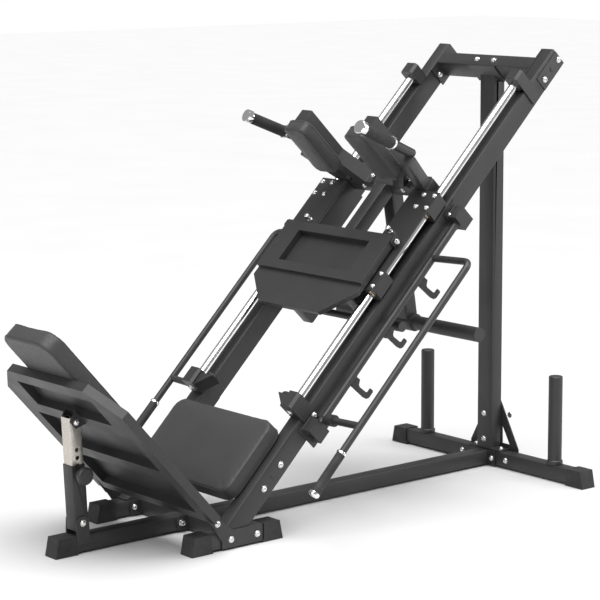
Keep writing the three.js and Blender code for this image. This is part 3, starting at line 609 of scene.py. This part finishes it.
def plugs():
    made = bmesh.new()
    for side in SIDES:
        bottom = on_slope(SLED_BOTTOM, side * SLED_TUBE_Y, 0.014)
        end_plug(made, bottom, -UP_SLOPE, ACROSS, TUBE_PLUG_HALF, 0.0448)
        leg = on_slope(-0.055, side * SLED_TUBE_Y, -0.158)
        end_plug(made, leg, -OFF_SLOPE, ACROSS, TUBE_PLUG_HALF, TUBE_PLUG_HALF)
        crossbar = on_slope(0.390, side * 0.214, 0.037)
        end_plug(made, crossbar, ACROSS * side, UP_SLOPE, TUBE_PLUG_HALF, TUBE_PLUG_HALF)
        arm_plug(made, side)
    spine = on_slope(-0.060, 0, 0.037)
    end_plug(made, spine, -UP_SLOPE, ACROSS, TUBE_PLUG_HALF, TUBE_PLUG_HALF)
    to_object("sled_tube_plugs", made, PLASTIC, "sled", 30)


COVER_CAP = [
    (0.0088, -0.0020), (0.0096, 0.0004), (0.0090, 0.0017), (0.0055, 0.0027), (0.0010, 0.0030),
]


def rail_covers():
    """Snap-in covers over the holes in the rails' outer faces."""
    made = bmesh.new()
    for side in SIDES:
        for s, y, w in ((-0.704, RAIL_OUTER, -0.037), (0.988, STIFFENER_FACE, -0.040)):
            lathe(made, facing(on_slope(s, side * y, w), ACROSS * side), COVER_CAP)
    to_object("rail_covers", made, PLASTIC, "frame", 30)


frame_welds()
sled_welds()
lever_welds(1, "left")
lever_welds(-1, "right")
plugs()
rail_covers()

# ---------------------------------------------------------------- chrome collars of the hand grips

GRIP_START = (0.350, 0.265, 0.310)
GRIP_END = (0.289, 0.284, 0.457)
GRIP_RING = [
    (0.0185, -0.0010), (0.0218, -0.0004), (0.0228, 0.0010), (0.0230, 0.0070), (0.0222, 0.0088),
    (0.0200, 0.0094), (0.0185, 0.0094),
]
GRIP_CAP = [
    (0.0190, -0.0140), (0.0216, -0.0138), (0.0226, -0.0124), (0.0226, 0.0040), (0.0218, 0.0062),
    (0.0196, 0.0076), (0.0120, 0.0082), (0.0020, 0.0083),
]
LEVER_RING = [
    (0.0120, 0.0000), (0.0160, 0.0006), (0.0171, 0.0020), (0.0171, 0.0070), (0.0160, 0.0086),
    (0.0120, 0.0092),
]
LEVER_CAP = [
    (0.0160, -0.0060), (0.0170, -0.0052), (0.0173, 0.0015), (0.0155, 0.0048), (0.0090, 0.0068),
    (0.0010, 0.0072),
]

for side, name in ((1, "left"), (-1, "right")):
    start = on_slope(GRIP_START[0], side * GRIP_START[1], GRIP_START[2])
    end = on_slope(GRIP_END[0], side * GRIP_END[1], GRIP_END[2])
    collars = bmesh.new()
    lathe(collars, facing(start, end - start), GRIP_RING, 40)
    lathe(collars, facing(end, end - start), GRIP_CAP, 40)
    to_object("grip_collars_" + name, collars, CHROME, "sled", 35)
    ring = bmesh.new()
    bar_y, bar_w = LEVER_BAR
    lathe(ring, facing(on_slope(-0.572, side * bar_y, bar_w), UP_SLOPE), LEVER_RING, 32)
    lathe(ring, facing(on_slope(-0.721, side * bar_y, bar_w), -UP_SLOPE), LEVER_CAP, 32)
    to_object("lever_ring_" + name, ring, CHROME, "safety_lever_" + name, 35)

# ---------------------------------------------------------------- pads


def pad_blank(outline, layers, place):
    """A closed solid of stacked outlines, from (inset, height) layers."""
    made = bmesh.new()
    xs = [p[0] for p in outline]
    ys = [p[1] for p in outline]
    middle = ((min(xs) + max(xs)) / 2, (min(ys) + max(ys)) / 2)
    half = ((max(xs) - min(xs)) / 2, (max(ys) - min(ys)) / 2)
    rings = []
    for inset, height in layers:
        shrink = ((half[0] - inset) / half[0], (half[1] - inset) / half[1])
        rings.append([
            made.verts.new(place(
                middle[0] + (x - middle[0]) * shrink[0],
                middle[1] + (y - middle[1]) * shrink[1],
                height,
            ))
            for x, y in outline
        ])
    close_up(made, rings)
    return made


VOXEL = 0.0050
SIM_FRAMES = 20
BOARD_GRIP = 0.006  # the cover is fixed to its board up to this height
SEAMS = {"welt": 0.0013, "hem": 0.0011}  # radii of the piped seams


def apply_modifiers(obj):
    with bpy.context.temp_override(object=obj, active_object=obj, selected_objects=[obj]):
        for modifier in list(obj.modifiers):
            bpy.ops.object.modifier_apply(modifier=modifier.name)


def inflate(obj, is_base, most):
    """Swells the cover over its foam with a cloth simulation. The base stays flat on its board."""
    mesh = obj.data
    rest = [v.co.copy() for v in mesh.vertices]
    group = obj.vertex_groups.new(name="board")
    group.add([v.index for v in mesh.vertices if is_base(v.co)], 1.0, "REPLACE")
    cloth = obj.modifiers.new("cover", "CLOTH")
    cloth.settings.quality = 4
    cloth.settings.mass = 0.4
    cloth.settings.tension_stiffness = 12
    cloth.settings.compression_stiffness = 12
    cloth.settings.bending_stiffness = 0.8
    cloth.settings.use_pressure = True
    cloth.settings.uniform_pressure_force = 4
    cloth.settings.vertex_group_mass = "board"
    cloth.settings.effector_weights.gravity = 0
    cloth.point_cache.frame_start = 1
    cloth.point_cache.frame_end = SIM_FRAMES
    for number in range(1, SIM_FRAMES + 1):
        bpy.context.scene.frame_set(number)
    apply_modifiers(obj)
    bpy.context.scene.frame_set(1)
    furthest = max((v.co - start).length for v, start in zip(mesh.vertices, rest))
    share = min(1.0, most / max(furthest, 1e-6))
    for vertex, start in zip(obj.data.vertices, rest):
        vertex.co = start + (vertex.co - start) * share


def piping(name, surface, path, radius, body):
    """A welted seam that lies on the cover along a closed path."""
    tree = BVHTree.FromObject(surface, bpy.context.evaluated_depsgraph_get())
    made = bmesh.new()
    sides = 8
    points = [tree.find_nearest(point)[:2] for point in path]
    rings = []
    count = len(points)
    for number, (place, normal) in enumerate(points):
        along = (points[(number + 1) % count][0] - points[number - 1][0]).normalized()
        aside = along.cross(normal).normalized()
        lift = aside.cross(along).normalized()
        centre = place + normal * radius * 0.25
        rings.append([
            made.verts.new(centre + (aside * math.cos(angle) + lift * math.sin(angle)) * radius)
            for angle in (2 * math.pi * step / sides for step in range(sides))
        ])
    bridge(made, rings + rings[:1])
    to_object(name, made, THREAD, body, 80)


def refined(outline, spacing=0.006):
    """The outline with points close enough together to follow the cover."""
    points = []
    for start, end in zip(outline, outline[1:] + outline[:1]):
        length = math.dist(start, end)
        steps = max(1, round(length / spacing))
        for step in range(steps):
            share = step / steps
            points.append(tuple(Vector(start).lerp(Vector(end), share)))
    return points


def pad(name, node, place, low, high, corner, heights, crown):
    """A foam pad on a board: blank, voxel remesh, cloth simulation, subdivision, then its seam."""
    bottom, top = heights
    layers = [
        (0.003, bottom),  # inset, height
        (0.000, bottom + 0.004),
        (0.000, top - 0.006),
        (0.002, top - 0.003),
        (0.006, top - 0.002),
    ]
    outline = rounded_outline(low, high, corner)
    body = BODY_OF[node]
    cover = to_object(name, pad_blank(outline, layers, place), VINYL, body, 180)
    cover.parent = None
    normal = (place(0, 0, 1) - place(0, 0, 0)).normalized()
    floor = place(0, 0, bottom).dot(normal)
    remesh = cover.modifiers.new("skin", "REMESH")
    remesh.mode = "VOXEL"
    remesh.voxel_size = VOXEL
    remesh.use_smooth_shade = True
    apply_modifiers(cover)
    inflate(cover, lambda co: co.dot(normal) < floor + BOARD_GRIP, crown)
    cover.data.shade_smooth()
    smooth = cover.modifiers.new("smooth", "SMOOTH")
    smooth.factor = 0.5
    smooth.iterations = 1
    finer = cover.modifiers.new("finer", "SUBSURF")
    finer.levels = 1
    finer.render_levels = 1
    apply_modifiers(cover)
    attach(cover, body)
    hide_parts(node)
    seam_heights = {"welt": top - 0.005, "hem": bottom + 0.008}
    for label, height in seam_heights.items():
        path = [place(x, y, height) for x, y in refined(outline)]
        piping(f"{name}_{label}", cover, path, SEAMS[label], body)


def pads():
    pad(
        "seat_cushion", "seat_pad", on_slope,
        (-0.844, -0.246), (-0.568, 0.246), 0.040, (0.0005, 0.057), 0.006,
    )
    pad(
        "back_cushion", "back_pad", on_back,
        (0.150, -0.128), (0.765, 0.128), 0.052, (0.0163, 0.076), 0.006,
    )
    for side, name in ((1, "left"), (-1, "right")):
        pad(
            "shoulder_cushion_" + name, "shoulder_pad_" + name,
            lambda y, w, depth, side=side: on_slope(0.3617 - depth, side * y, w),
            (0.098, 0.157), (0.206, 0.372), 0.024, (0.0, 0.0487), 0.004,
        )


pads()

# ---------------------------------------------------------------- camera, floor and light


def camera():
    data = bpy.data.cameras.new("photo_camera")
    data.lens = CAMERA_LENS
    data.sensor_width = 36
    data.clip_end = 60
    back = Vector((
        math.sin(CAMERA_AZIMUTH) * math.cos(CAMERA_ELEVATION),
        -math.cos(CAMERA_AZIMUTH) * math.cos(CAMERA_ELEVATION),
        math.sin(CAMERA_ELEVATION),
    ))
    right = Vector((math.cos(CAMERA_AZIMUTH), math.sin(CAMERA_AZIMUTH), 0))
    up = back.cross(right)
    turn = Matrix((right, up, back)).transposed() @ Matrix.Rotation(CAMERA_ROLL, 3, "Z")
    made = bpy.data.objects.new("photo_camera", data)
    made.matrix_world = Matrix.Translation(CAMERA_AT) @ turn.to_4x4()
    bpy.context.scene.collection.objects.link(made)
    bpy.context.scene.camera = made


def floor():
    size = 30
    made = bmesh.new()
    for x, y in ((-1, -1), (1, -1), (1, 1), (-1, 1)):
        made.verts.new((x * size, y * size, -0.0005))
    made.faces.new(made.verts)
    mesh = bpy.data.meshes.new("studio_floor")
    made.to_mesh(mesh)
    made.free()
    mesh.materials.append(studio_floor())
    obj = bpy.data.objects.new("studio_floor", mesh)
    bpy.context.scene.collection.objects.link(obj)


def softbox(name, place, target, size, power):
    data = bpy.data.lights.new(name, "AREA")
    data.shape = "DISK"
    data.size = size
    data.energy = power
    made = bpy.data.objects.new(name, data)
    made.matrix_world = facing(Vector(place), Vector(place) - Vector(target))
    bpy.context.scene.collection.objects.link(made)


def sky():
    """A white backdrop that lights the machine at less than half its own brightness."""
    world = bpy.data.worlds.new("studio")
    world.use_nodes = True
    nodes, links = world.node_tree.nodes, world.node_tree.links
    glow = nodes["Background"]
    glow.inputs["Color"].default_value = (1, 1, 1, 1)
    glow.inputs["Strength"].default_value = 0.35
    backdrop = nodes.new("ShaderNodeBackground")
    backdrop.inputs["Color"].default_value = (1, 1, 1, 1)
    mix = nodes.new("ShaderNodeMixShader")
    links.new(nodes.new("ShaderNodeLightPath").outputs["Is Camera Ray"], mix.inputs["Fac"])
    links.new(glow.outputs["Background"], mix.inputs[1])
    links.new(backdrop.outputs["Background"], mix.inputs[2])
    links.new(mix.outputs["Shader"], nodes["World Output"].inputs["Surface"])
    bpy.context.scene.world = world


def overhead():
    """An even, very soft light from above, so that the floor stays white out to the horizon."""
    data = bpy.data.lights.new("overhead", "SUN")
    data.energy = 4.4
    data.angle = math.radians(60)
    made = bpy.data.objects.new("overhead", data)
    made.matrix_world = facing(Vector((0, 0, 4)), (-0.15, -0.2, 1.0))
    bpy.context.scene.collection.objects.link(made)


def studio():
    bpy.context.scene.view_settings.view_transform = "Standard"
    middle = (0, 0, 0.7)  # of the machine
    sky()
    overhead()
    softbox("right_softbox", (4.0, -3.5, 2.6), middle, 2.5, 90)
    softbox("front_softbox", (-4.5, -1.0, 2.2), middle, 2.5, 60)


camera()
floor()
studio()
